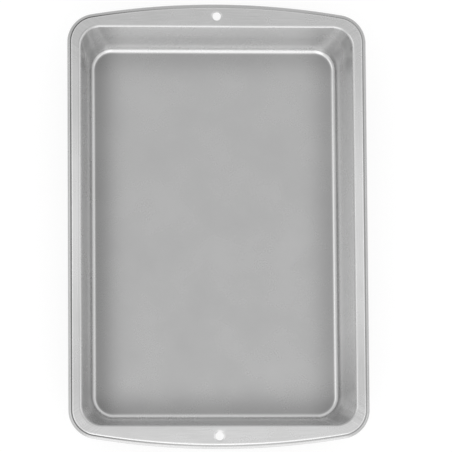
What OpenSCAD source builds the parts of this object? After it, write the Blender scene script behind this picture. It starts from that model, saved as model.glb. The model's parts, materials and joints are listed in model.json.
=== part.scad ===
// Rectangular cake pan, drawn from one steel sheet, with its edge rolled round a wire.
// The origin is on the underside of the floor, at its middle. Y runs along the pan and Z is up.
// Lengths are in millimetres.

/* [Bowl] */
// Width of the opening, where the side walls would meet the flange
opening_w = 228.6; // [160:0.1:320]
// Length of the opening, where the end walls would meet the flange
opening_l = 335; // [240:0.5:450]
// Depth from the top of the flange down to the floor
depth = 50.8; // [30:0.1:80]
// How far each wall leans in on its way down
wall_inset = 10.5; // [4:0.5:16]
// Corner radius at the top of the walls
top_corner_r = 16.5; // [12:0.5:24]
// Corner radius at the foot of the walls
foot_corner_r = 19; // [13:0.5:26]
// Inside radius of the bend from the floor to the walls
floor_bend_r = 5; // [2:0.5:8]
// Upper radius of the bend from the walls to the flange
flange_bend_r = 2.5; // [1.5:0.1:4]

/* [Sheet and wire] */
// Thickness of the steel sheet
sheet_t = 0.5; // [0.4:0.05:0.8]
// Diameter of the wire inside the rolled edge
wire_d = 2.8; // [1.6:0.1:3.6]
// Gap all round between the wire and the sheet rolled round it
wire_clearance = 0.1; // [0.08:0.01:0.2]
// Gap between the two ends of the wire
wire_gap = 0.6; // [0.2:0.1:3]

/* [Flange] */
// Width of the flange along each side, out to the edge of the pan
side_flange_w = 11.4; // [9:0.1:24]
// Width of the flange at the middle of each end, out to the edge of the pan
end_flange_w = 20; // [19.5:0.5:40]
// Radius of the shallow curve of each end
end_curve_r = 640; // [420:10:2000]
// Radius of the outer corners
outer_corner_r = 24.2; // [18:0.1:34]

/* [Rolled edge] */
// Upper radius of the shoulder where the flange dips into the crease
shoulder_r = 1; // [0.8:0.1:1.8]
// Upper radius of the crease between the flange and the rolled edge
crease_r = 0.35; // [0.3:0.05:1]
// Slope of the shoulder where it runs into the crease, in degrees
dip_angle = 65; // [20:1:75]
// Depth of the crease below the top of the rolled edge
crease_depth = 0.15; // [0.05:0.05:0.6]
// How far the sheet goes round the wire, in degrees
wrap_angle = 320; // [250:1:322]

/* [Hang holes] */
// Diameter of the hole in each end
hole_d = 7; // [4:0.5:8]
// Distance from the opening to the middle of each hole
hole_from_opening = 9.4; // [8.5:0.1:10.2]
// Width of the shallow dish round each hole
dish_w = 1.7; // [0.8:0.1:2]
// Depth of the dish
dish_drop = 0.3; // [0.1:0.05:0.6]

/* [Hidden] */
$fn = 64;

// Facets along the bends and round the outline
floor_bend_steps = 4;
flange_bend_steps = 4;
shoulder_steps = 2;
crease_steps = 3;
roll_steps = 13;
corner_steps = 12;
end_steps = 8;
wire_sides = 12;

// Radii of the rolled edge, from the middle of the wire
roll_inner_r = wire_d/2 + wire_clearance;
roll_outer_r = roll_inner_r + sheet_t;

// Levels
floor_z = sheet_t;
flange_z = floor_z + depth;
crease_z = flange_z - (shoulder_r + crease_r)*(1 - cos(dip_angle));
roll_z = crease_z + crease_depth - roll_outer_r;

// Middle line of the rolled edge: straight sides, corner arcs and a shallow arc across each end
rim_half_w = opening_w/2 + side_flange_w - roll_outer_r;
rim_half_l = opening_l/2 + end_flange_w - roll_outer_r;
rim_corner_r = outer_corner_r - roll_outer_r;
rim_end_r = end_curve_r - roll_outer_r;
rim_corner_x = rim_half_w - rim_corner_r;
rim_end_y = rim_half_l - rim_end_r;
rim_corner_y = rim_end_y + sqrt(pow(rim_end_r - rim_corner_r, 2) - pow(rim_corner_x, 2));
end_half_angle = asin(rim_corner_x/(rim_end_r - rim_corner_r));

// Centres of the bowl's corner arcs, at the top and at the foot of the walls
top_corner = [opening_w/2 - top_corner_r, opening_l/2 - top_corner_r];
foot_corner = [opening_w/2 - wall_inset - foot_corner_r, opening_l/2 - wall_inset - foot_corner_r];

// Places of the crease and the shoulder, measured out from the middle of the wire, and the
// direction from there in which the rolled edge leaves the crease
crease_reach = roll_outer_r + crease_r;
crease_u = -sqrt(pow(crease_reach, 2) - pow(crease_reach - crease_depth, 2));
shoulder_u = crease_u - (shoulder_r + crease_r)*sin(dip_angle);
roll_start = atan2(crease_reach - crease_depth, crease_u);

hole_y = opening_l/2 + hole_from_opening;
dish_r = hole_d/2 + dish_w;
dish_lap = sheet_t;

function along(centre, a, r) = centre + r*[cos(a), sin(a)];
function arc(centre, r, a1, a2, steps) =
  [for (i = [0:steps]) along(centre, a1 + (a2 - a1)*i/steps, r)];
function reversed(list) = [for (i = [len(list) - 1:-1:0]) list[i]];

// A station is one place round the pan where the sheet is cut across. It holds the direction
// of the cut through the bowl, the points at the top and the foot of the wall, the direction
// of the cut through the rolled edge and the middle of the wire there.
function corner_station(q, share) =
  let(
    side = [q == 0 || q == 3 ? 1 : -1, q < 2 ? 1 : -1],
    bowl_a = 90*(q + share),
    rim_a = 90*q + (90 - end_half_angle)*share + (q%2 == 1 ? end_half_angle : 0),
    rim_corner = [side[0]*rim_corner_x, side[1]*rim_corner_y]
  )
  [
    bowl_a,
    along([side[0]*top_corner[0], side[1]*top_corner[1]], bowl_a, top_corner_r),
    along([side[0]*foot_corner[0], side[1]*foot_corner[1]], bowl_a, foot_corner_r),
    rim_a,
    along(rim_corner, rim_a, rim_corner_r)
  ];
function end_station(side, share) =
  let(
    across_share = side*(1 - 2*share),
    rim_a = 90*side - end_half_angle*(1 - 2*share)
  )
  [
    90*side,
    [across_share*top_corner[0], side*opening_l/2],
    [across_share*foot_corner[0], side*(opening_l/2 - wall_inset)],
    rim_a,
    along([0, side*rim_end_y], rim_a, rim_end_r)
  ];
function corner_stations(q) = [for (i = [0:corner_steps]) corner_station(q, i/corner_steps)];
function end_stations(side) = [for (i = [1:end_steps - 1]) end_station(side, i/end_steps)];
stations = concat(
  corner_stations(0), end_stations(1), corner_stations(1),
  corner_stations(2), end_stations(-1), corner_stations(3)
);

// The bowl's cut, from the floor to the flange, as [out from the wall's foot, height] points.
// face is 0 for the upper face of the sheet and 1 for the lower face.
function bowl_cut(lean, face) =
  let(
    slope = atan2(depth, lean),
    floor_centre = [-floor_bend_r*tan(slope/2), floor_z + floor_bend_r],
    flange_centre = [lean + flange_bend_r*tan(slope/2), flange_z - flange_bend_r]
  )
  concat(
    arc(floor_centre, floor_bend_r + face*sheet_t, -90, slope - 90, floor_bend_steps),
    arc(flange_centre, flange_bend_r - face*sheet_t, slope + 90, 90, flange_bend_steps)
  );

// The rolled edge's cut, from the shoulder to the lip, as [out from the wire, height] points
function roll_cut(face) =
  let(
    shoulder = arc([shoulder_u, flange_z - shoulder_r], shoulder_r - face*sheet_t,
      90, 90 - dip_angle, shoulder_steps),
    crease = arc([crease_u, crease_z + crease_r], crease_r + face*sheet_t,
      -90 - dip_angle, roll_start - 180, crease_steps),
    roll = arc([0, roll_z], face == 0 ? roll_outer_r : roll_inner_r,
      roll_start, roll_start - wrap_angle, roll_steps)
  )
  concat(
    shoulder,
    [for (i = [1:crease_steps]) crease[i]],
    [for (i = [1:roll_steps]) roll[i]]
  );

// One face of the sheet at a station, from the floor out to the lip, as points in space.
// The walls of a corner lean along the corner too, so a point slides sideways as it rises.
function sheet_face(station, face) =
  let(
    out = [cos(station[0]), sin(station[0])],
    sideways = [-out[1], out[0]],
    lean = (station[1] - station[2])*out,
    slide = (station[1] - station[2])*sideways,
    rim_out = [cos(station[3]), sin(station[3])]
  )
  concat(
    [for (p = bowl_cut(lean, face))
      let(at = station[2] + p[0]*out + slide*(p[1] - floor_z)/depth*sideways)
      [at[0], at[1], p[1]]],
    [for (p = roll_cut(face))
      let(at = station[4] + p[0]*rim_out)
      [at[0], at[1], p[1]]]
  );
function sheet_loop(station) = concat(sheet_face(station, 0), reversed(sheet_face(station, 1)));

// Two triangles for each cell between neighbouring rings of points
function cells(rings, ring_size, closed_rings, closed_run) =
  [for (k = [0:rings - (closed_run ? 1 : 2)], i = [0:ring_size - (closed_rings ? 1 : 2)])
    let(
      here = k*ring_size,
      next = (k + 1)%rings*ring_size,
      j = (i + 1)%ring_size
    )
    each [[here + i, next + i, next + j], [here + i, next + j, here + j]]];

module sheet() {
  loops = [for (s = stations) sheet_loop(s)];
  count = len(stations);
  size = len(loops[0]);
  floor_top = [for (k = [count - 1:-1:0]) k*size];
  floor_bottom = [for (k = [0:count - 1]) k*size + size - 1];
  polyhedron(
    points = [for (l = loops) each l],
    faces = concat(cells(count, size, false, true), [floor_top, floor_bottom]),
    convexity = 8
  );
}

module at_each_hole() {
  for (side = [-1, 1]) translate([0, side*hole_y, flange_z]) children();
}

// The sheet round a hole, pressed down a little as the hole is punched. Its flat rim lies in
// the flange, so that the two are one sheet.
module dish() {
  rotate_extrude() polygon([
    [hole_d/2, -dish_drop],
    [dish_r, 0],
    [dish_r + dish_lap, 0],
    [dish_r + dish_lap, -sheet_t],
    [dish_r, -sheet_t],
    [hole_d/2, -dish_drop - sheet_t]
  ]);
}

module pan_body() {
  color("#b4b4b4") {
    difference() {
      sheet();
      at_each_hole() cylinder(r = dish_r, h = 4*sheet_t, center = true);
    }
    at_each_hole() dish();
  }
}

module rim_wire() {
  start = [0, 0, 0, 0, [rim_half_w, wire_gap/2]];
  finish = [0, 0, 0, 0, [rim_half_w, -wire_gap/2]];
  run = concat([start], stations, [finish]);
  points = [
    for (s = run, i = [0:wire_sides - 1])
      let(
        a = -360*(i + 1/2)/wire_sides,
        at = s[4] + wire_d/2*cos(a)*[cos(s[3]), sin(s[3])]
      )
      [at[0], at[1], roll_z + wire_d/2*sin(a)]
  ];
  first_end = [for (i = [0:wire_sides - 1]) i];
  last_end = [for (i = [wire_sides - 1:-1:0]) (len(run) - 1)*wire_sides + i];
  color("#8f9296")
    polyhedron(points, concat(cells(len(run), wire_sides, true, false), [first_end, last_end]));
}

pan_body();
rim_wire();
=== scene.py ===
import json
import math
import random
from functools import partial

import bmesh
import bpy
from mathutils import Matrix, Vector


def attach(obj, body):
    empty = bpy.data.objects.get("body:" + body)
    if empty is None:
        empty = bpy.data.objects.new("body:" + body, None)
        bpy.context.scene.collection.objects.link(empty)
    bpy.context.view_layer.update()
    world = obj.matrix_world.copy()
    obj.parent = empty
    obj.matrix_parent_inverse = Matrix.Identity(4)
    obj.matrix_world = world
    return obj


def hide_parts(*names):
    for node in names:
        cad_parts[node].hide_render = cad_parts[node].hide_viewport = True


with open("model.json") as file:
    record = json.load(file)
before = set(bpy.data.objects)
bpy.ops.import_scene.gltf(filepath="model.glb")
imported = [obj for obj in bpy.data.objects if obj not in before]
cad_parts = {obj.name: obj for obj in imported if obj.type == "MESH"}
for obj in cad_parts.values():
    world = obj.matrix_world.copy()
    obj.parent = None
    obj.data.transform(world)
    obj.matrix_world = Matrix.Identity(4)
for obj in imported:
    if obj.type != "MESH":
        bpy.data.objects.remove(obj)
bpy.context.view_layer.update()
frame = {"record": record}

MM = 0.001
QUARTER = math.radians(90)
SEED = 7

# Bowl
opening_w = 228.6 * MM
opening_l = 335 * MM
depth = 50.8 * MM
wall_inset = 10.5 * MM
top_corner_r = 16.5 * MM
foot_corner_r = 19 * MM
floor_bend_r = 5 * MM
flange_bend_r = 2.5 * MM
floor_crown = 0.25 * MM

# Sheet and wire
sheet_t = 0.5 * MM
wire_d = 2.8 * MM
wire_clearance = 0.1 * MM
wire_gap = 0.6 * MM

# Flange and its rolled edge
side_flange_w = 11.4 * MM
end_flange_w = 20 * MM
end_curve_r = 640 * MM
outer_corner_r = 24.2 * MM
shoulder_r = 1 * MM
crease_r = 0.35 * MM
dip_angle = math.radians(65)
crease_depth = 0.15 * MM
wrap_angle = math.radians(320)

# Hang holes
dish_w = 1.7 * MM
dish_drop = 0.3 * MM
punch_edge_r = 0.12 * MM
# Half the width of the window in the flange that the dish and its hole fill
window_half_w = 6.4 * MM

# Draw marks in the corners: the ripples that the press leaves in the sheet. Each is a sum of
# waves, given as how many there are, and the fewest and the most of them round a corner.
flange_ripple = 0.04 * MM
flange_waves = (5, 11, 19)
wall_ripple = 0.2 * MM
wall_waves = (3, 2, 5)
weakest_wave = 0.4
ripple_fade = 0.7

# Worked out from the sizes above
flange_z = sheet_t + depth
crease_z = flange_z - (shoulder_r + crease_r) * (1 - math.cos(dip_angle))
roll_inner_r = wire_d / 2 + wire_clearance
roll_outer_r = roll_inner_r + sheet_t
roll_z = crease_z + crease_depth - roll_outer_r
rim_half_w = opening_w / 2 + side_flange_w - roll_outer_r
rim_half_l = opening_l / 2 + end_flange_w - roll_outer_r
rim_corner_r = outer_corner_r - roll_outer_r
rim_end_r = end_curve_r - roll_outer_r
rim_corner_x = rim_half_w - rim_corner_r
rim_end_y = rim_half_l - rim_end_r
rim_corner_y = rim_end_y + math.sqrt((rim_end_r - rim_corner_r) ** 2 - rim_corner_x**2)
end_half_angle = math.asin(rim_corner_x / (rim_end_r - rim_corner_r))
crease_reach = roll_outer_r + crease_r
crease_u = -math.sqrt(crease_reach**2 - (crease_reach - crease_depth) ** 2)
shoulder_u = crease_u - (shoulder_r + crease_r) * math.sin(dip_angle)
roll_start = math.atan2(crease_reach - crease_depth, crease_u)

bores = [m for m in frame["record"]["mounts"] if m["kind"] == "bore"]
hang_holes = [Vector(bore["pos_m"]) for bore in bores]
hole_r = bores[0]["dims"]["r_mm"] * MM
dish_r = hole_r + dish_w
floor_slope = math.atan2(depth, wall_inset)
floor_edge = wall_inset + floor_bend_r * math.tan(floor_slope / 2)
floor_half_w = opening_w / 2 - floor_edge
floor_half_l = opening_l / 2 - floor_edge

# Distances along the sheet from the start of the floor bend
floor_bend_run = floor_slope * floor_bend_r
flange_bend_run = floor_bend_run + math.hypot(depth, wall_inset)
flange_run = flange_bend_run + floor_slope * flange_bend_r
shoulder_run = flange_run + side_flange_w
crease_run = shoulder_run + math.hypot(crease_u - shoulder_u, flange_z - crease_z)

# How finely the meshes are divided: stations round the outline, and rows across the sheet
CORNER_CELLS = 64
SIDE_CELLS = 24
WINDOW_CELLS = 11
END_CELLS_BESIDE = 16
FLOOR_REACHES = (1, 0.85, 0.7, 0.55, 0.4, 0.28, 0.18, 0.1, 0.04, 0)
FLOOR_BEND_CELLS = 10
WALL_CELLS = 12
FLANGE_BEND_CELLS = 10
FLANGE_CELLS = 13
SHOULDER_CELLS = 4
CREASE_CELLS = 5
ROLL_CELLS = 28
WIRE_SIDES = 16
DISH_CELLS = 6
PUNCH_EDGE_CELLS = 3
SHARP_ANGLE = math.radians(38)
MERGE_GAP = 0.001 * MM

# Coating, with tones that follow the photograph. Stretches are distances along the sheet from
# the start of the floor bend. A fade is a pair of places between which a change comes or goes.
floor_grey = "cecece"
# The bends' and the walls' greys are brighter than the floor's: painted highlights on the bends and
# painted light on the walls
bend_highlight_grey = "e7e7e7"
wall_lit_grey = "e7e7e7"
flange_grey = "dadada"
outside_grey = "bcbcbc"
# Along the sheet: painted highlights on the floor bend, the flange bend and the shoulder
rim_tones = (
    # distance along the sheet, grey
    (1 * MM, bend_highlight_grey),
    (flange_bend_run, wall_lit_grey),
    (flange_run + 1 * MM, flange_grey),
    (shoulder_run - 0.5 * MM, flange_grey),
    (shoulder_run + 0.2 * MM, bend_highlight_grey),
    (shoulder_run + 0.8 * MM, bend_highlight_grey),
)
# Painted highlights and painted shade on each wall, at and above its foot
wall_highlights_and_shades = {
    # distance up from the floor bend, grey
    "left and near": (
        (-1 * MM, bend_highlight_grey), (0.5 * MM, "dadada"), (4 * MM, "dadada"), (10 * MM, "f2f2f2"),
        (16 * MM, "f2f2f2"), (24 * MM, wall_lit_grey),
    ),
    "right": (
        (-2.5 * MM, bend_highlight_grey), (-1.5 * MM, "d6d6d6"), (1 * MM, "d0d0d0"), (5.5 * MM, "f8f8f8"),
        (9 * MM, "f8f8f8"), (13 * MM, "ececec"), (20 * MM, wall_lit_grey),
    ),
    "far": (
        (-3.5 * MM, bend_highlight_grey), (-2.5 * MM, "f0f0f0"), (0, "e2e2e2"), (6 * MM, "e6e6e6"),
        (11 * MM, "dcdcdc"), (24 * MM, "d9d9d9"), (34 * MM, "e2e2e2"),
    ),
}
right_tones_fade = (96 * MM, 101 * MM)
far_tones_fade = (145 * MM, 152 * MM)
# Painted shade on some stretches of the sheet
painted_shade_areas = {
    # the stretch of the sheet that each area covers
    "wall": (floor_bend_run + 0.5 * MM, flange_bend_run),
    "flange bend": (flange_bend_run + 0.5 * MM, flange_run - 1 * MM),
    "flange's inner edge": (flange_run - 0.3 * MM, flange_run + 1.2 * MM),
}
area_edge = 0.3 * MM
side_wall_fade = (92 * MM, 100 * MM)
side_wall_end_fade = (137 * MM, 146 * MM)
painted_shades = (
    # area, axis, fade along it, share of the brightness that the painted shade takes
    ("wall", "y", (-145 * MM, -152 * MM), 0.07),
    ("side wall", "y", (-87 * MM, -135 * MM), 0.2),
    ("right wall", "y", (-87 * MM, -135 * MM), 0.1),
    ("flange's inner edge", "x", (-100 * MM, -110 * MM), 0.14),
    ("flange bend", "y", (-155 * MM, -165 * MM), 0.28),
)
# Painted highlights and painted shade on the walls in the corners
corner_fade = (130 * MM, 142 * MM)
corner_foot_fade = (1 * MM, 3 * MM)
corner_top_fade = (flange_bend_run, flange_bend_run + 0.5 * MM)
corner_highlights_and_shades = (
    # end, its rise and fall on the way round the corner from the side (0) to the end (1), and
    # on the way up the wall (0 to 1), and how much brighter it is there
    ("far", ((0.38, 0.55), (0.75, 1.05)), ((-2, -1), (0.3, 0.8)), 0.33),
    ("far", ((-2, -1), (0.42, 0.52)), ((0.5, 0.7), (2, 3)), -0.3),
    ("near", ((0.12, 0.3), (0.4, 0.55)), ((0.2, 0.4), (2, 3)), 0.28),
)
# Painted shade on the floor's margin next to each wall
painted_foot_shade_w = 15 * MM
painted_foot_shades = {"left": 0.42, "right": 0.25, "far": 0.2, "near": 0.32}
floor_underside_fade = (0.2 * MM, 0.4 * MM)
floor_upside_fade = (sheet_t + 0.1 * MM, sheet_t + 0.4 * MM)
rub_edge = 1 * MM
flat_edge = 0.5 * MM
# Painted sheen on the flange's long sides
side_sheen = 0.3
side_sheen_l = 175 * MM
# Painted sheen on the flange's near end
near_end_sheen = 0.18
near_end_fade = (-140 * MM, -175 * MM)
hatch_size = 1.6 * MM
hatch_shade = 0.06
hatch_side_fade = (90 * MM, 105 * MM)
hatch_end_fade = (138 * MM, 150 * MM)
# Painted shade in the crease beside the rolled edge
crease_shade = 0.7
crease_shade_w = 0.55 * MM
crease_end_fade = (176 * MM, 185 * MM)
crease_end_share = 0.15
crease_right_fade = (-60 * MM, 60 * MM)
crease_right_share = 0.5
brightest = 0.98
fleck_size = 0.8 * MM
fleck_range = (0.25, 0.75)
fleck_shade = 0.007
fleck_roughness = 0.006
noise_range = (0.3, 0.7)
mottle_size = 45 * MM
mottle_shade = 0.03
grain_length = 18 * MM
grain_width = 0.5 * MM
grain_shade = 0.05
coat_roughness = (0.25, 0.29)
coat_relief = 0.001 * MM
coat_relief_strength = 0.5

# Wire steel
wire_greys = ("8c8f93", "b6b8bb")
wire_roughness = (0.25, 0.4)
die_mark_size = 0.3 * MM
die_mark_relief = 0.01 * MM
die_mark_strength = 0.4

# Studio, in metres. A glow of 1 is white.
paper_reach = 12
paper_gap = 0.2 * MM
paper_grey = "e6e6e6"
paper_shadow = 0.3
paper_glow = 0.8
paper_white_fade = (0.3, 0.8)
room_glow = 0.69
dome_r = 1.3
softbox_half_height = 6.5
softboxes = (
    # name, degrees from overhead, compass direction, half width in degrees, glow
    ("near_15", 15, 180, 9, 0.38),
    ("near_27", 27, 180, 14, 0.38),
    ("near_39", 39, 180, 18, 0.56),
    ("near_52", 52, 180, 22, 0.42),
    ("near_67", 67, 180, 24, 0.5),
    ("near_82", 82, 180, 24, 0.65),
    ("left_27", 27, 270, 14, 0.7),
    ("left_39", 39, 270, 18, 0.38),
    ("right_27", 27, 90, 14, 0.42),
    ("right_39", 39, 90, 18, 0.26),
)

# Camera, from the photograph. Pixels are those of the 452 x 452 photograph, the distance is in
# metres and the roll in degrees.
FRAME_PIXELS = 452
pixels_per_mm = 1.196
pan_middle_x_pixel = 218
pan_middle_y_pixel = 225.4
camera_from = (-0.0694, -0.1334, 1)
camera_distance = 4
camera_roll = -0.42


def add_node(tree, kind, inputs=(), output=0, **settings):
    """Adds a node, sets and links it, and gives back one of its outputs, if it has any."""
    node = tree.nodes.new(kind)
    for name, value in settings.items():
        setattr(node, name, value)
    pairs = inputs.items() if isinstance(inputs, dict) else enumerate(inputs)
    for socket, value in pairs:
        if isinstance(value, bpy.types.NodeSocket):
            tree.links.new(value, node.inputs[socket])
        else:
            node.inputs[socket].default_value = value
    return node.outputs[output] if node.outputs else None


def srgb(hex_colour):
    """The linear colour of an sRGB hex value such as "c0c0c0"."""
    shares = [int(hex_colour[i:i + 2], 16) / 255 for i in (0, 2, 4)]
    linear = [s / 12.92 if s <= 0.04045 else ((s + 0.055) / 1.055) ** 2.4 for s in shares]
    return (*linear, 1)


def direction(angle):
    """The level unit vector at an angle from the x axis."""
    return Vector((math.cos(angle), math.sin(angle), 0))


def station(wall_angle, wall_top, wall_foot, wire_angle, wire_middle):
    """One place round the pan where the sheet is cut across."""
    return {
        "wall_out": direction(wall_angle),
        "wall_top": wall_top,
        "wall_foot": wall_foot,
        "wire_out": direction(wire_angle),
        "wire_middle": wire_middle,
        "turned": 0.0,
        "flange_ripple": 0.0,
        "wall_ripple": 0.0,
    }


def corner_stations(quarter):
    """The stations of a rounded corner. Only the corners carry draw marks."""
    sides = Vector((1 if quarter in (0, 3) else -1, 1 if quarter < 2 else -1, 0))
    top_centre = sides * Vector((opening_w / 2 - top_corner_r, opening_l / 2 - top_corner_r, 0))
    foot_reach = wall_inset + foot_corner_r
    foot_centre = sides * Vector((opening_w / 2 - foot_reach, opening_l / 2 - foot_reach, 0))
    wire_centre = sides * Vector((rim_corner_x, rim_corner_y, 0))
    marks = random.Random(SEED + quarter)
    ripples = []
    for name, height, (count, fewest, most) in (
        ("flange_ripple", flange_ripple, flange_waves),
        ("wall_ripple", wall_ripple, wall_waves),
    ):
        waves = [
            (marks.uniform(fewest, most), marks.uniform(0, math.tau),
             marks.uniform(weakest_wave, 1))
            for _ in range(count)
        ]
        ripples.append((name, height, waves))
    made = []
    for i in range(CORNER_CELLS + 1):
        share = i / CORNER_CELLS
        wall_angle = (quarter + share) * QUARTER
        wire_angle = quarter * QUARTER + (QUARTER - end_half_angle) * share
        if quarter % 2:
            wire_angle += end_half_angle
        here = station(
            wall_angle,
            top_centre + top_corner_r * direction(wall_angle),
            foot_centre + foot_corner_r * direction(wall_angle),
            wire_angle,
            wire_centre + rim_corner_r * direction(wire_angle),
        )
        here["turned"] = 1 - share if quarter % 2 else share
        fade = math.sin(math.pi * share) ** ripple_fade
        for name, height, waves in ripples:
            sway = sum(
                size * math.sin(math.tau * count * share + phase) for count, phase, size in waves
            )
            here[name] = height * fade * sway / math.sqrt(len(waves))
        made.append(here)
    return made


def end_stations(side):
    """The stations across an end. Those of the middle window are close, for the hang hole."""
    straight = opening_w / 2 - top_corner_r
    window = window_half_w / straight
    inner = [window * (1 - 2 * i / WINDOW_CELLS) for i in range(WINDOW_CELLS + 1)]
    outer = [1 - (1 - window) * i / END_CELLS_BESIDE for i in range(1, END_CELLS_BESIDE)]
    shares = outer + inner + [-s for s in reversed(outer)]
    foot_straight = opening_w / 2 - wall_inset - foot_corner_r
    made = []
    for across in shares:
        wire_angle = side * QUARTER - end_half_angle * across
        made.append(station(
            side * QUARTER,
            Vector((side * across * straight, side * opening_l / 2, 0)),
            Vector((side * across * foot_straight, side * (opening_l / 2 - wall_inset), 0)),
            wire_angle,
            Vector((0, side * rim_end_y, 0)) + rim_end_r * direction(wire_angle),
        ))
        made[-1]["turned"] = 1.0
    return made


def side_stations(side):
    """The stations along a straight side, between its two corners."""
    top_straight = opening_l / 2 - top_corner_r
    foot_straight = opening_l / 2 - wall_inset - foot_corner_r
    made = []
    for i in range(1, SIDE_CELLS):
        along = side * (2 * i / SIDE_CELLS - 1)
        angle = 0 if side > 0 else 2 * QUARTER
        made.append(station(
            angle,
            Vector((side * opening_w / 2, along * top_straight, 0)),
            Vector((side * (opening_w / 2 - wall_inset), along * foot_straight, 0)),
            angle,
            Vector((side * rim_half_w, along * rim_corner_y, 0)),
        ))
    return made


def all_stations():
    """Every station, anticlockwise from the far end of the +X side."""
    return (
        corner_stations(0) + end_stations(1) + corner_stations(1) + side_stations(-1)
        + corner_stations(2) + end_stations(-1) + corner_stations(3) + side_stations(1)
    )


def steps(count):
    """Shares from just after 0 to 1."""
    return [i / count for i in range(1, count + 1)]


def arc(centre, radius, start, end, count):
    """Points of an arc after its first one, as (out, up)."""
    out, up = centre
    angles = [start + (end - start) * share for share in steps(count)]
    return [(out + radius * math.cos(a), up + radius * math.sin(a)) for a in angles]


def rolled_edge(face):
    """The rolled edge's cut from the shoulder to the lip, as (out from the wire, height)."""
    shoulder = arc(
        (shoulder_u, flange_z - shoulder_r), shoulder_r - face * sheet_t,
        QUARTER, QUARTER - dip_angle, SHOULDER_CELLS,
    )
    crease = arc(
        (crease_u, crease_z + crease_r), crease_r + face * sheet_t,
        -QUARTER - dip_angle, roll_start - 2 * QUARTER, CREASE_CELLS,
    )
    roll = arc(
        (0, roll_z), roll_inner_r if face else roll_outer_r,
        roll_start, roll_start - wrap_angle, ROLL_CELLS,
    )
    return [(shoulder_u, flange_z - face * sheet_t)] + shoulder + crease + roll


def section_rows():
    """The sheet's cut: over its upper face from the middle of the floor to the lip, and back
    under its lower face. Each row says how far along each stretch of the sheet it lies."""
    rows = []
    for face in (0, 1):
        edge = rolled_edge(face)
        first = {"face": face, "floor_reach": 0, "floor_bend": 0, "wall": 0, "flange_bend": 0,
                 "flange": 0, "roll": (*edge[0], 0)}
        side_rows = [dict(first, floor_reach=reach) for reach in FLOOR_REACHES]
        side_rows += [dict(first, floor_bend=s) for s in steps(FLOOR_BEND_CELLS)]
        side_rows += [dict(first, floor_bend=1, wall=s) for s in steps(WALL_CELLS)]
        bent = dict(first, floor_bend=1, wall=1)
        side_rows += [dict(bent, flange_bend=s) for s in steps(FLANGE_BEND_CELLS)]
        side_rows += [dict(bent, flange_bend=1, flange=s) for s in steps(FLANGE_CELLS)]
        flat = dict(bent, flange_bend=1, flange=1)
        side_rows += [dict(flat, roll=(*point, 0)) for point in edge[1:]]
        rows += side_rows if face == 0 else list(reversed(side_rows))
    return rows


def section_length(row):
    """How far a row lies along the sheet from the foot of the wall."""
    slant = math.hypot(depth, wall_inset)
    bends = floor_slope * (floor_bend_r * row["floor_bend"] + flange_bend_r * row["flange_bend"])
    flange_w = side_flange_w * row["flange"]
    rolled = 0
    if row["flange"] == 1:
        rolled = math.hypot(row["roll"][0] - shoulder_u, row["roll"][1] - flange_z)
    return bends + slant * row["wall"] + flange_w + rolled


def line_object(name, points, closed, attributes):
    """A chain of points joined by edges, with named values at its points."""
    mesh = bpy.data.meshes.new(name)
    count = len(points)
    edges = [(i, (i + 1) % count) for i in range(count if closed else count - 1)]
    mesh.from_pydata(points, edges, [])
    for key, values in attributes.items():
        vector = hasattr(values[0], "__len__")
        layer = mesh.attributes.new(key, "FLOAT_VECTOR" if vector else "FLOAT", "POINT")
        flat = [c for v in values for c in v] if vector else [float(v) for v in values]
        layer.data.foreach_set("vector" if vector else "value", flat)
    made = bpy.data.objects.new(name, mesh)
    bpy.context.scene.collection.objects.link(made)
    return made


def columns(rows):
    """The same values as rows hold, gathered under each of their keys."""
    return {key: [row[key] for row in rows] for key in rows[0]}


def new_tree(name, inputs):
    """An empty geometry tree with the named inputs after its geometry, and its input sockets."""
    tree = bpy.data.node_groups.new(name, "GeometryNodeTree")
    tree.interface.new_socket("Geometry", in_out="OUTPUT", socket_type="NodeSocketGeometry")
    tree.interface.new_socket("Geometry", in_out="INPUT", socket_type="NodeSocketGeometry")
    for key, kind in inputs.items():
        tree.interface.new_socket(key, in_out="INPUT", socket_type=kind)
    return tree, tree.nodes.new("NodeGroupInput").outputs


def grow(source, tree, values, name):
    """Runs a geometry tree on a line object and keeps the result as a plain mesh object."""
    modifier = source.modifiers.new(tree.name, "NODES")
    modifier.node_group = tree
    for item in tree.interface.items_tree:
        if item.in_out == "INPUT" and item.name in values:
            modifier[item.identifier] = values[item.name]
    bpy.context.view_layer.update()
    evaluated = source.evaluated_get(bpy.context.evaluated_depsgraph_get())
    mesh = bpy.data.meshes.new_from_object(evaluated)
    mesh.name = name
    source.modifiers.remove(modifier)
    bpy.data.objects.remove(source)
    made = bpy.data.objects.new(name, mesh)
    bpy.context.scene.collection.objects.link(made)
    return made


# Kinds of node that come up often. RANGE takes a value, the low and high ends of its range and
# what they become. MIX takes its share at input 0, and its two sides at 2 and 3 for numbers,
# 4 and 5 for vectors, and 6 and 7 for colours.
MATHS = "ShaderNodeMath"
VECTORS = "ShaderNodeVectorMath"
MIX = "ShaderNodeMix"
RANGE = "ShaderNodeMapRange"
NOISE = "ShaderNodeTexNoise"
ATTRIBUTE = "ShaderNodeAttribute"
NAMED = "GeometryNodeInputNamedAttribute"


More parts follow.
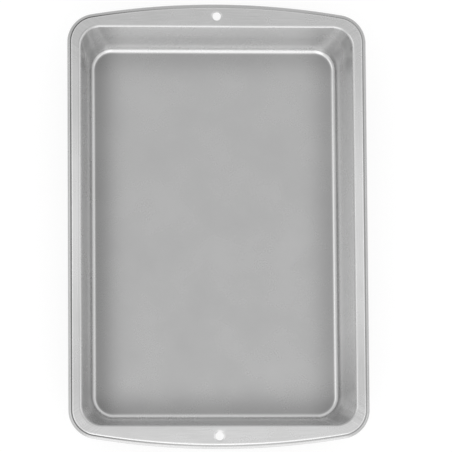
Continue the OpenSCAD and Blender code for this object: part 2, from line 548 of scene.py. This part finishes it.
def sheet_tree():
    """Sweeps the sheet's cut round the outline, then bends it by the sizes of its stretches."""
    tree, given = new_tree("drawn sheet", {
        "Section": "NodeSocketObject",
        "Depth": "NodeSocketFloat",
        "Floor bend radius": "NodeSocketFloat",
        "Flange bend radius": "NodeSocketFloat",
        "Sheet thickness": "NodeSocketFloat",
        "Floor crown": "NodeSocketFloat",
        "Floor half size": "NodeSocketVector",
        "Coating": "NodeSocketMaterial",
    })
    add = partial(add_node, tree)
    bend_r, rim_bend_r = given["Floor bend radius"], given["Flange bend radius"]
    thick, deep = given["Sheet thickness"], given["Depth"]
    face, floor_bend, wall, flange_bend, flange, floor_reach, wall_mark, flange_mark = (
        add(NAMED, [name], data_type="FLOAT")
        for name in ("face", "floor_bend", "wall", "flange_bend", "flange", "floor_reach",
                     "wall_ripple", "flange_ripple")
    )
    wall_out, wall_top, wall_foot, wire_out, wire_middle, roll = (
        add(NAMED, [name], data_type="FLOAT_VECTOR")
        for name in ("wall_out", "wall_top", "wall_foot", "wire_out", "wire_middle", "roll")
    )
    below = add(MATHS, [face, thick], operation="MULTIPLY")

    # How far a mark swells on its way across the wall or the flange: 0 at both edges and 1 in
    # the middle
    swells = []
    for share in (wall, flange):
        left = add(MATHS, [1.0, share], operation="SUBTRACT")
        swell = add(MATHS, [share, left], operation="MULTIPLY")
        swells.append(add(MATHS, [swell, 4.0], operation="MULTIPLY"))
    wall_swell, flange_swell = swells

    # The wall's lean out, its slide sideways on the way up, and its slope from the floor
    towards = add(VECTORS, [wall_top, wall_foot], operation="SUBTRACT")
    lean = add(VECTORS, [towards, wall_out], output=1, operation="DOT_PRODUCT")
    straight = add(VECTORS, {0: wall_out, 3: lean}, operation="SCALE")
    slide = add(VECTORS, [towards, straight], operation="SUBTRACT")
    slope = add(MATHS, [deep, lean], operation="ARCTAN2")
    half_slope = add(MATHS, [slope, 0.5], operation="MULTIPLY")
    tangent = add(MATHS, [half_slope], operation="TANGENT")

    # The bend at the wall's foot
    turn = add(MATHS, [slope, floor_bend], operation="MULTIPLY")
    radius = add(MATHS, [bend_r, below], operation="ADD")
    back = add(MATHS, [bend_r, tangent], operation="MULTIPLY")
    sine = add(MATHS, [turn], operation="SINE")
    cosine = add(MATHS, [turn], operation="COSINE")
    reach = add(MATHS, [radius, sine], operation="MULTIPLY")
    foot_out = add(MATHS, [reach, back], operation="SUBTRACT")
    centre = add(MATHS, [thick, bend_r], operation="ADD")
    rise = add(MATHS, [radius, cosine], operation="MULTIPLY")
    foot_up = add(MATHS, [centre, rise], operation="SUBTRACT")

    # The bend from the wall to the flange
    bent = add(MATHS, [1.0, flange_bend], operation="SUBTRACT")
    turn = add(MATHS, [slope, bent], operation="MULTIPLY")
    radius = add(MATHS, [rim_bend_r, below], operation="SUBTRACT")
    ahead = add(MATHS, [rim_bend_r, tangent, lean], operation="MULTIPLY_ADD")
    sine = add(MATHS, [turn], operation="SINE")
    cosine = add(MATHS, [turn], operation="COSINE")
    reach = add(MATHS, [radius, sine], operation="MULTIPLY")
    rim_out = add(MATHS, [ahead, reach], operation="SUBTRACT")
    top = add(MATHS, [thick, deep], operation="ADD")
    centre = add(MATHS, [top, rim_bend_r], operation="SUBTRACT")
    rim_up = add(MATHS, [radius, cosine, centre], operation="MULTIPLY_ADD")

    # The wall between them, with its draw marks
    out = add(MIX, {0: wall, 2: foot_out, 3: rim_out}, data_type="FLOAT")
    up = add(MIX, {0: wall, 2: foot_up, 3: rim_up}, data_type="FLOAT")
    out = add(MATHS, [wall_mark, wall_swell, out], operation="MULTIPLY_ADD")
    outward = add(VECTORS, {0: wall_out, 3: out}, operation="SCALE")
    risen = add(MATHS, [up, thick], operation="SUBTRACT")
    risen = add(MATHS, [risen, deep], operation="DIVIDE")
    sideways = add(VECTORS, {0: slide, 3: risen}, operation="SCALE")
    around = add(VECTORS, [wall_foot, outward], operation="ADD")
    around = add(VECTORS, [around, sideways], operation="ADD")
    kept = add(MATHS, [1.0, floor_reach], operation="SUBTRACT")
    around = add(VECTORS, {0: around, 3: kept}, operation="SCALE")

    # The floor's slight crown, which falls to nothing at the foot of the walls
    share = add(VECTORS, [around, given["Floor half size"]], operation="DIVIDE")
    square = add(VECTORS, [share, share], operation="MULTIPLY")
    fall = add(VECTORS, [(1.0, 1.0, 1.0), square], operation="SUBTRACT")
    fall = add(VECTORS, [fall, (0.0, 0.0, 0.0)], operation="MAXIMUM")
    fall_x = add("ShaderNodeSeparateXYZ", [fall])
    fall_y = fall_x.node.outputs[1]
    crown = add(MATHS, [fall_x, fall_y], operation="MULTIPLY")
    height = add(MATHS, [crown, given["Floor crown"], up], operation="MULTIPLY_ADD")
    height = add("ShaderNodeCombineXYZ", {2: height})
    bowl = add(VECTORS, [around, height], operation="ADD")

    # The rolled edge, and the flange between it and the bowl, with its draw marks
    roll_out = add("ShaderNodeSeparateXYZ", [roll])
    roll_up = roll_out.node.outputs[1]
    outward = add(VECTORS, {0: wire_out, 3: roll_out}, operation="SCALE")
    edge = add(VECTORS, [wire_middle, outward], operation="ADD")
    height = add("ShaderNodeCombineXYZ", {2: roll_up})
    edge = add(VECTORS, [edge, height], operation="ADD")
    place = add(MIX, {0: flange, 4: bowl, 5: edge}, output=1, data_type="VECTOR")
    mark = add(MATHS, [flange_mark, flange_swell], operation="MULTIPLY")
    mark = add("ShaderNodeCombineXYZ", {2: mark})
    place = add(VECTORS, [place, mark], operation="ADD")

    outline = add("GeometryNodeMeshToCurve", [given["Geometry"]])
    section = add("GeometryNodeObjectInfo", [given["Section"]], output=4)
    section = add("GeometryNodeMeshToCurve", [section])
    skin = add("GeometryNodeCurveToMesh", [outline, section])
    skin = add("GeometryNodeSetPosition", {0: skin, 2: place})
    skin = add("GeometryNodeMergeByDistance", {0: skin, 2: MERGE_GAP})
    skin = add("GeometryNodeSetShadeSmooth", [skin])
    skin = add("GeometryNodeRealizeInstances", [skin])
    skin = add("GeometryNodeSetMaterial", {0: skin, 2: given["Coating"]})
    add("NodeGroupOutput", [skin])
    return tree


def wire_tree():
    """Sweeps a round wire along its path and closes its two ends."""
    tree, given = new_tree("edge wire", {
        "Wire radius": "NodeSocketFloat",
        "Sides": "NodeSocketInt",
        "Steel": "NodeSocketMaterial",
    })
    add = partial(add_node, tree)
    path = add("GeometryNodeMeshToCurve", [given["Geometry"]])
    ring = add("GeometryNodeCurvePrimitiveCircle", {0: given["Sides"], 4: given["Wire radius"]})
    tube = add("GeometryNodeCurveToMesh", {0: path, 1: ring, 3: True})
    tube = add("GeometryNodeSetShadeSmooth", [tube])
    tube = add("GeometryNodeRealizeInstances", [tube])
    tube = add("GeometryNodeSetMaterial", {0: tube, 2: given["Steel"]})
    add("NodeGroupOutput", [tube])
    return tree


def dish_rings():
    """Rings of a hang hole from its dish's edge down through the hole and back under it, as
    (radius, height over the flange's top)."""
    rings = []
    for i in range(DISH_CELLS + 1):
        share = i / DISH_CELLS
        rings.append((dish_r - dish_w * share, -dish_drop * share**2 * (3 - 2 * share)))
    edge_r = hole_r + punch_edge_r
    over = [(r, z) for r, z in rings if r > edge_r]
    rounded = arc(
        (edge_r, -dish_drop - punch_edge_r), punch_edge_r, QUARTER, 2 * QUARTER, PUNCH_EDGE_CELLS
    )
    under = [(r, z - sheet_t) for r, z in reversed(rings)]
    return over + [(edge_r, -dish_drop)] + rounded + under


def press_hang_hole(skin, centre):
    """Takes a window of cells out of the flange and fills it with the dish and its hole."""
    side = math.copysign(1, centre.y)
    flange_start = opening_l / 2 + flange_bend_r * math.tan(floor_slope / 2)
    cell = (rim_half_l + shoulder_u - flange_start) / FLANGE_CELLS
    window_start, window_end = flange_start + cell, flange_start + (FLANGE_CELLS - 1) * cell
    window = []
    for face in skin.faces:
        middle = face.calc_center_median()
        in_width = abs(middle.x) < window_half_w + cell / 2
        in_length = window_start < side * middle.y < window_end
        if in_width and in_length and middle.z > flange_z - 2 * sheet_t:
            window.append(face)
    bmesh.ops.delete(skin, geom=window, context="FACES")
    loops = []
    for level in (flange_z, flange_z - sheet_t):
        loop = [
            v for v in skin.verts
            if v.is_boundary and side * v.co.y > 0 and abs(v.co.z - level) < sheet_t / 4
        ]
        loop.sort(key=lambda v: math.atan2(v.co.y - centre.y, v.co.x))
        loops.append(loop)
    upper, lower = loops
    kept = [skin.verts.layers.float_vector["run"]]
    kept += [skin.verts.layers.float[name] for name in ("across", "turned")]
    chain = [upper]
    for radius, height in dish_rings():
        ring = []
        for start in upper:
            angle = math.atan2(start.co.y - centre.y, start.co.x)
            middle = Vector((0, centre.y, flange_z + height))
            vert = skin.verts.new(middle + radius * direction(angle))
            for layer in kept:
                vert[layer] = start[layer]
            ring.append(vert)
        chain.append(ring)
    chain.append(lower)
    count = len(upper)
    for first, second in zip(chain, chain[1:]):
        for i in range(count):
            j = (i + 1) % count
            skin.faces.new((first[i], first[j], second[j], second[i])).smooth = True


def soften(skin):
    """Turns every face outwards and keeps only the real corners sharp."""
    bmesh.ops.recalc_face_normals(skin, faces=skin.faces)
    for edge in skin.edges:
        edge.smooth = len(edge.link_faces) == 2 and edge.calc_face_angle() < SHARP_ANGLE


def keep_attributes(mesh, names):
    """Drops the named values that only the modelling needed."""
    for name in [a.name for a in mesh.attributes]:
        layer = mesh.attributes[name]
        if name not in names and not layer.is_internal and not layer.is_required:
            mesh.attributes.remove(layer)


def drawn_sheet(material):
    """The pan's one sheet: floor, walls, flange, rolled edge and hang holes."""
    stations = all_stations()
    lengths = [0]
    for here, after in zip(stations, stations[1:] + stations[:1]):
        lengths.append(lengths[-1] + (after["wire_middle"] - here["wire_middle"]).length)
    round_r = lengths[-1] / math.tau
    for here, length in zip(stations, lengths):
        here["run"] = round_r * direction(length / round_r)
    rows = section_rows()
    for row in rows:
        row["across"] = section_length(row)
    outline = line_object("outline", [s["wire_middle"] for s in stations], True, columns(stations))
    spaced = [(i * sheet_t, 0, 0) for i in range(len(rows))]
    section = line_object("section", spaced, False, columns(rows))
    made = grow(outline, sheet_tree(), {
        "Section": section,
        "Depth": depth,
        "Floor bend radius": floor_bend_r,
        "Flange bend radius": flange_bend_r,
        "Sheet thickness": sheet_t,
        "Floor crown": floor_crown,
        "Floor half size": (floor_half_w, floor_half_l, 1.0),
        "Coating": material,
    }, "drawn_sheet")
    bpy.data.objects.remove(section)
    skin = bmesh.new()
    skin.from_mesh(made.data)
    for hole in hang_holes:
        press_hang_hole(skin, hole)
    soften(skin)
    skin.to_mesh(made.data)
    skin.free()
    keep_attributes(made.data, {"run", "across", "face", "turned"})
    return made


def edge_wire(material):
    """The wire inside the rolled edge, from one side of its gap round to the other."""
    stations = all_stations()
    plus_side = stations[-(SIDE_CELLS - 1):]
    first = [s for s in plus_side if s["wire_middle"].y > wire_gap]
    last = [s for s in plus_side if s["wire_middle"].y < -wire_gap]
    path = [s["wire_middle"] for s in first + stations[:-(SIDE_CELLS - 1)] + last]
    path = [Vector((rim_half_w, wire_gap / 2, 0))] + path + [Vector((rim_half_w, -wire_gap / 2, 0))]
    lift = Vector((0, 0, roll_z))
    source = line_object("wire path", [p + lift for p in path], False, {})
    made = grow(source, wire_tree(), {
        "Wire radius": wire_d / 2,
        "Sides": WIRE_SIDES,
        "Steel": material,
    }, "edge_wire")
    tube = bmesh.new()
    tube.from_mesh(made.data)
    soften(tube)
    tube.to_mesh(made.data)
    tube.free()
    return made


def new_material(name):
    """An empty material: its node tree and its surface socket."""
    material = bpy.data.materials.new(name)
    material.use_nodes = True
    material.node_tree.nodes.clear()
    output = material.node_tree.nodes.new("ShaderNodeOutputMaterial")
    return material, material.node_tree, output.inputs[0]


def soft_stretch(add, value, rise, fall):
    """A share of the surface: it grows from 0 to 1 over rise and goes back to 0 over fall."""
    grown = add(RANGE, [value, *rise])
    left = add(RANGE, [value, *fall, 1.0, 0.0])
    return add(MATHS, [grown, left], operation="MULTIPLY")


def coated_steel():
    """Steel sheet under a baked silver-grey non-stick coating, drawn in a press. To the eye it is
    a pale satin grey with fine metallic flecks. Its bends and walls are painted brighter, as
    painted highlights and painted light, and its floor's margin, crease and some corners and edges
    darker, as painted shade. The flange, which the press gripped and rubbed, has a fine grain that
    follows the outline."""
    material, tree, surface = new_material("non-stick coated steel, drawn")
    add = partial(add_node, tree)
    place = add("ShaderNodeTexCoord", output=3)
    at_x = add("ShaderNodeSeparateXYZ", [place])
    at_y, height = at_x.node.outputs[1], at_x.node.outputs[2]
    from_middle_x = add(MATHS, [at_x], operation="ABSOLUTE")
    from_middle_y = add(MATHS, [at_y], operation="ABSOLUTE")
    run = add(ATTRIBUTE, output=1, attribute_name="run")
    across, outside, turned = (
        add(ATTRIBUTE, output=2, attribute_name=name) for name in ("across", "face", "turned")
    )

    # Real flecks are about 0.05 mm, too fine to show, so they are drawn coarser
    fleck = add(NOISE, {"Vector": place, "Scale": 1 / fleck_size, "Detail": 2, "Roughness": 0.6})
    mottle = add(NOISE, {"Vector": place, "Scale": 1 / mottle_size, "Detail": 3, "Roughness": 0.5})
    along = add(VECTORS, {0: run, 3: 1 / grain_length}, operation="SCALE")
    over = add(MATHS, [across, 1 / grain_width], operation="MULTIPLY")
    over = add("ShaderNodeCombineXYZ", {2: over})
    grain = add(VECTORS, [along, over], operation="ADD")
    grain = add(NOISE, {"Vector": grain, "Scale": 1, "Detail": 3, "Roughness": 0.6})

    # The bends carry painted highlights, and each wall has painted highlights and shades of its own
    # on the way up from its foot
    share = add(MATHS, [across, 1 / crease_run], operation="MULTIPLY")
    tones = {}
    for side, stops in wall_highlights_and_shades.items():
        tones[side] = add("ShaderNodeValToRGB", [share])
        ramp = tones[side].node.color_ramp
        ramp.elements[0].color = srgb(floor_grey)
        ramp.elements[1].color = srgb(floor_grey)
        for stop, grey in rim_tones + tuple((floor_bend_run + up, grey) for up, grey in stops):
            ramp.elements.new(stop / crease_run).color = srgb(grey)
    colour = tones["left and near"]
    for side, at, fade in (("right", at_x, right_tones_fade), ("far", at_y, far_tones_fade)):
        there = add(RANGE, [at, *fade])
        colour = add(MIX, {0: there, 6: colour, 7: tones[side]}, output=2, data_type="RGBA")

    # The outside of the pan touched neither the punch nor the blank holder
    colour = add(MIX, {0: outside, 6: colour, 7: srgb(outside_grey)}, output=2, data_type="RGBA")

    # The coating's own unevenness
    shade = add(RANGE, [mottle, *noise_range, 1 - mottle_shade, 1 + mottle_shade])
    speck = add(RANGE, [fleck, *fleck_range, 1 - fleck_shade, 1 + fleck_shade])
    shade = add(MATHS, [shade, speck], operation="MULTIPLY")

    # Painted shade on the floor's margin at the foot of the walls, darkest on the left
    margin = 1.0
    for name, at, edge in (
        ("left", at_x, -floor_half_w), ("right", at_x, floor_half_w),
        ("far", at_y, floor_half_l), ("near", at_y, -floor_half_l),
    ):
        near = add(MATHS, [at, edge], operation="SUBTRACT")
        near = add(MATHS, [near, 1 / painted_foot_shade_w], operation="MULTIPLY")
        near = add(MATHS, [near, near], operation="MULTIPLY")
        near = add(MATHS, [near, -1.0], operation="MULTIPLY")
        near = add(MATHS, [near], operation="EXPONENT")
        near = add(MATHS, [near, -painted_foot_shades[name], 1.0], operation="MULTIPLY_ADD")
        margin = add(MATHS, [margin, near], operation="MULTIPLY")
    on_floor = soft_stretch(add, height, floor_underside_fade, floor_upside_fade)
    margin = add(MIX, {0: on_floor, 2: 1.0, 3: margin}, data_type="FLOAT")
    shade = add(MATHS, [shade, margin], operation="MULTIPLY")

    # The other changes of brightness, each as a share of the surface and the change there.
    # The blank holder leaves its grain in the flange.
    rubbed = add(RANGE, [across, flange_run - rub_edge, flange_run])
    streak = add(RANGE, [grain, *noise_range, -grain_shade, grain_shade])
    changes = [(streak, rubbed)]

    # Painted shade here and there: towards the near end of the walls, on the left of the flange's
    # inner edge and on the near flange bend
    area = {}
    for name, (start, end) in painted_shade_areas.items():
        rise = (start - area_edge, start + area_edge)
        area[name] = soft_stretch(add, across, rise, (end - area_edge, end + area_edge))
    straight = add(RANGE, [from_middle_y, *side_wall_end_fade, 1.0, 0.0])
    for name, at in (("side wall", from_middle_x), ("right wall", at_x)):
        there = add(RANGE, [at, *side_wall_fade])
        there = add(MATHS, [there, straight], operation="MULTIPLY")
        area[name] = add(MATHS, [there, area["wall"]], operation="MULTIPLY")
    for name, axis, fade, amount in painted_shades:
        there = add(RANGE, [at_x if axis == "x" else at_y, *fade])
        there = add(MATHS, [there, area[name]], operation="MULTIPLY")
        changes.append((there, -amount))

    # In the corners, painted highlights low on the far walls and high on the near walls, and
    # painted shade high on the far walls
    climb = add(RANGE, [across, floor_bend_run, flange_bend_run])
    on_wall = soft_stretch(add, across, corner_foot_fade, corner_top_fade)
    for end, way_round, way_up, change in corner_highlights_and_shades:
        side = 1 if end == "far" else -1
        there = add(RANGE, [at_y, *(side * y for y in corner_fade)])
        there = add(MATHS, [there, on_wall], operation="MULTIPLY")
        for value, (rise, fall) in ((turned, way_round), (climb, way_up)):
            there = add(MATHS, [there, soft_stretch(add, value, rise, fall)], operation="MULTIPLY")
        changes.append((there, change))

    # Painted sheen: the long sides of the flange are brighter towards their middle
    flat = add(RANGE, [across, shoulder_run, shoulder_run + flat_edge, 1.0, 0.0])
    flat = add(MATHS, [flat, rubbed], operation="MULTIPLY")
    middle = add(MATHS, [at_y, 1 / side_sheen_l], operation="MULTIPLY")
    middle = add(MATHS, [middle, middle], operation="MULTIPLY")
    middle = add(MATHS, [1.0, middle], operation="SUBTRACT", use_clamp=True)
    middle = add(MATHS, [middle, middle], operation="MULTIPLY")
    middle = add(MATHS, [middle, flat], operation="MULTIPLY")
    changes.append((middle, side_sheen))

    # Painted sheen: the flange's near end is a little brighter
    near_end_lit = add(RANGE, [at_y, *near_end_fade])
    near_end_lit = add(MATHS, [near_end_lit, rubbed], operation="MULTIPLY")
    changes.append((near_end_lit, near_end_sheen))

    # The sheet wrinkles as the flange's corners are drawn in, which leaves fine lines there
    hatch = add(VECTORS, {0: run, 3: 1 / hatch_size}, operation="SCALE")
    hatch = add(NOISE, {"Vector": hatch, "Scale": 1, "Detail": 1, "Roughness": 0.5})
    hatch = add(RANGE, [hatch, *noise_range, -hatch_shade, hatch_shade])
    for at, fade in ((from_middle_x, hatch_side_fade), (from_middle_y, hatch_end_fade)):
        corner = add(RANGE, [at, *fade])
        hatch = add(MATHS, [hatch, corner], operation="MULTIPLY")
    changes.append((hatch, flat))

    # Painted shade in the crease, most on the left and least across the ends
    crease = add(MATHS, [across, crease_run], operation="SUBTRACT")
    crease = add(MATHS, [crease], operation="ABSOLUTE")
    crease = add(RANGE, [crease, crease_shade_w / 2, crease_shade_w, 1.0, 0.0])
    for at, fade, least in (
        (from_middle_y, crease_end_fade, crease_end_share),
        (at_x, crease_right_fade, crease_right_share),
    ):
        kept = add(RANGE, [at, *fade, 1.0, least])
        crease = add(MATHS, [crease, kept], operation="MULTIPLY")
    changes.append((crease, -crease_shade))

    for there, change in changes:
        factor = add(MATHS, [there, change, 1.0], operation="MULTIPLY_ADD")
        shade = add(MATHS, [shade, factor], operation="MULTIPLY")
    colour = add(VECTORS, {0: colour, 3: shade}, operation="SCALE")
    colour = add(VECTORS, [colour, (brightest, brightest, brightest)], operation="MINIMUM")

    rough = add(RANGE, [mottle, *noise_range, *coat_roughness])
    rough_speck = add(RANGE, [fleck, *fleck_range, -fleck_roughness, fleck_roughness])
    rough = add(MATHS, [rough, rough_speck], operation="ADD")
    relief = add(MATHS, [grain, rubbed], operation="MULTIPLY")
    relief = add(MATHS, [relief, fleck], operation="ADD")
    normal = add("ShaderNodeBump", {
        "Strength": coat_relief_strength, "Distance": coat_relief, "Height": relief,
    })
    shader = add("ShaderNodeBsdfPrincipled", {
        "Base Color": colour, "Metallic": 1.0, "Roughness": rough, "Normal": normal,
    })
    tree.links.new(shader, surface)
    return material


def drawn_wire_steel():
    """Bright mild steel wire, pulled through a die. It is a darker, sharper grey than the coated
    sheet, with fine marks from the die."""
    material, tree, surface = new_material("steel wire, drawn")
    add = partial(add_node, tree)
    place = add("ShaderNodeTexCoord", output=3)
    marks = add(NOISE, {"Vector": place, "Scale": 1 / die_mark_size, "Detail": 2})
    dark, pale = (srgb(grey) for grey in wire_greys)
    colour = add(MIX, {0: marks, 6: dark, 7: pale}, output=2, data_type="RGBA")
    rough = add(RANGE, [marks, 0.0, 1.0, *wire_roughness])
    normal = add("ShaderNodeBump", {
        "Strength": die_mark_strength, "Distance": die_mark_relief, "Height": marks,
    })
    shader = add("ShaderNodeBsdfPrincipled", {
        "Base Color": colour, "Metallic": 1.0, "Roughness": rough, "Normal": normal,
    })
    tree.links.new(shader, surface)
    return material


def studio_floor():
    """White paper under the pan. The camera sees it white, with the pan's soft shadow near the
    pan, and it is clear from below."""
    material, tree, surface = new_material("white studio paper")
    add = partial(add_node, tree)
    rays = add("ShaderNodeLightPath").node.outputs
    seen = add(MATHS, [rays["Is Camera Ray"], rays["Is Glossy Ray"]], operation="MAXIMUM")
    seen = add(MATHS, [seen, rays["Is Transmission Ray"]], operation="MAXIMUM")
    place = add("ShaderNodeTexCoord", output=3)
    away = add(VECTORS, [place], output=1, operation="LENGTH")
    far = add(RANGE, [away, *paper_white_fade])
    paper = add("ShaderNodeBsdfDiffuse", {0: srgb(paper_grey)})
    shaded = add("ShaderNodeBsdfDiffuse", {0: (paper_shadow, paper_shadow, paper_shadow, 1)})
    glow = add("ShaderNodeEmission", {0: (1, 1, 1, 1), 1: paper_glow})
    near_look = add("ShaderNodeAddShader", [shaded, glow])
    white = add("ShaderNodeEmission", {0: (1, 1, 1, 1), 1: 1.0})
    look = add("ShaderNodeMixShader", [far, near_look, white])
    look = add("ShaderNodeMixShader", [seen, paper, look])
    below = add("ShaderNodeNewGeometry", output=6)
    clear = add("ShaderNodeBsdfTransparent")
    look = add("ShaderNodeMixShader", [below, look, clear])
    tree.links.new(look, surface)
    mesh = bpy.data.meshes.new("studio_floor")
    corners = [(-1, -1), (1, -1), (1, 1), (-1, 1)]
    points = [(x * paper_reach, y * paper_reach, -paper_gap) for x, y in corners]
    mesh.from_pydata(points, [], [(0, 1, 2, 3)])
    mesh.materials.append(material)
    made = bpy.data.objects.new("studio_floor", mesh)
    bpy.context.scene.collection.objects.link(made)
    return made


def softbox(name, zenith, compass, half_width, glow):
    """A rectangular soft light that faces the pan from a dome round it. It is placed and sized
    by angles in degrees. A mirror would show it at glow, where 1 is white."""
    tilt, heading = math.radians(zenith), math.radians(compass)
    back = Vector((
        math.sin(tilt) * math.sin(heading), math.sin(tilt) * math.cos(heading), math.cos(tilt)
    ))
    side = Vector((math.cos(heading), -math.sin(heading), 0))
    above = back.cross(side)
    lamp = bpy.data.lights.new(name, "AREA")
    lamp.shape = "RECTANGLE"
    lamp.size = 2 * dome_r * math.tan(math.radians(half_width))
    lamp.size_y = 2 * dome_r * math.tan(math.radians(softbox_half_height))
    lamp.energy = glow * math.pi * lamp.size * lamp.size_y
    made = bpy.data.objects.new(name, lamp)
    made.matrix_world = Matrix((
        (side.x, above.x, back.x, back.x * dome_r),
        (side.y, above.y, back.y, back.y * dome_r),
        (side.z, above.z, back.z, back.z * dome_r),
        (0, 0, 0, 1),
    ))
    made.visible_camera = False
    bpy.context.scene.collection.objects.link(made)


def studio_world(level):
    """An evenly lit white room round the pan."""
    world = bpy.data.worlds.new("studio room")
    world.use_nodes = True
    bpy.context.scene.world = world
    background = world.node_tree.nodes["Background"]
    background.inputs[0].default_value = (1, 1, 1, 1)
    background.inputs[1].default_value = level


def photo_camera():
    """The photograph's camera: nearly overhead, a little towards the left and the near end."""
    view_from = Vector(camera_from).normalized()
    side = Vector((0, 1, 0)).cross(view_from).normalized()
    above = view_from.cross(side)
    turn = math.radians(camera_roll)
    across = side * math.cos(turn) + above * math.sin(turn)
    up = above * math.cos(turn) - side * math.sin(turn)
    pixel = MM / pixels_per_mm
    off_x = FRAME_PIXELS / 2 - pan_middle_x_pixel
    off_y = FRAME_PIXELS / 2 - pan_middle_y_pixel
    aim = Vector((0, 0, roll_z)) + (across * off_x - up * off_y) * pixel
    camera = bpy.data.cameras.new("photo_camera")
    camera.lens = camera.sensor_width * camera_distance / (FRAME_PIXELS * pixel)
    made = bpy.data.objects.new("photo_camera", camera)
    made.matrix_world = Matrix((
        (across.x, up.x, view_from.x, 0),
        (across.y, up.y, view_from.y, 0),
        (across.z, up.z, view_from.z, 0),
        (0, 0, 0, 1),
    ))
    made.location = aim + view_from * camera_distance
    bpy.context.scene.collection.objects.link(made)
    bpy.context.scene.camera = made


material = coated_steel()
sheet = drawn_sheet(material)
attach(sheet, "root")
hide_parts("pan_body")

wire = edge_wire(drawn_wire_steel())
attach(wire, "root")
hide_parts("rim_wire")

floor = studio_floor()
studio_world(room_glow)
for box in softboxes:
    softbox(*box)
photo_camera()
bpy.context.scene.view_settings.view_transform = "Standard"
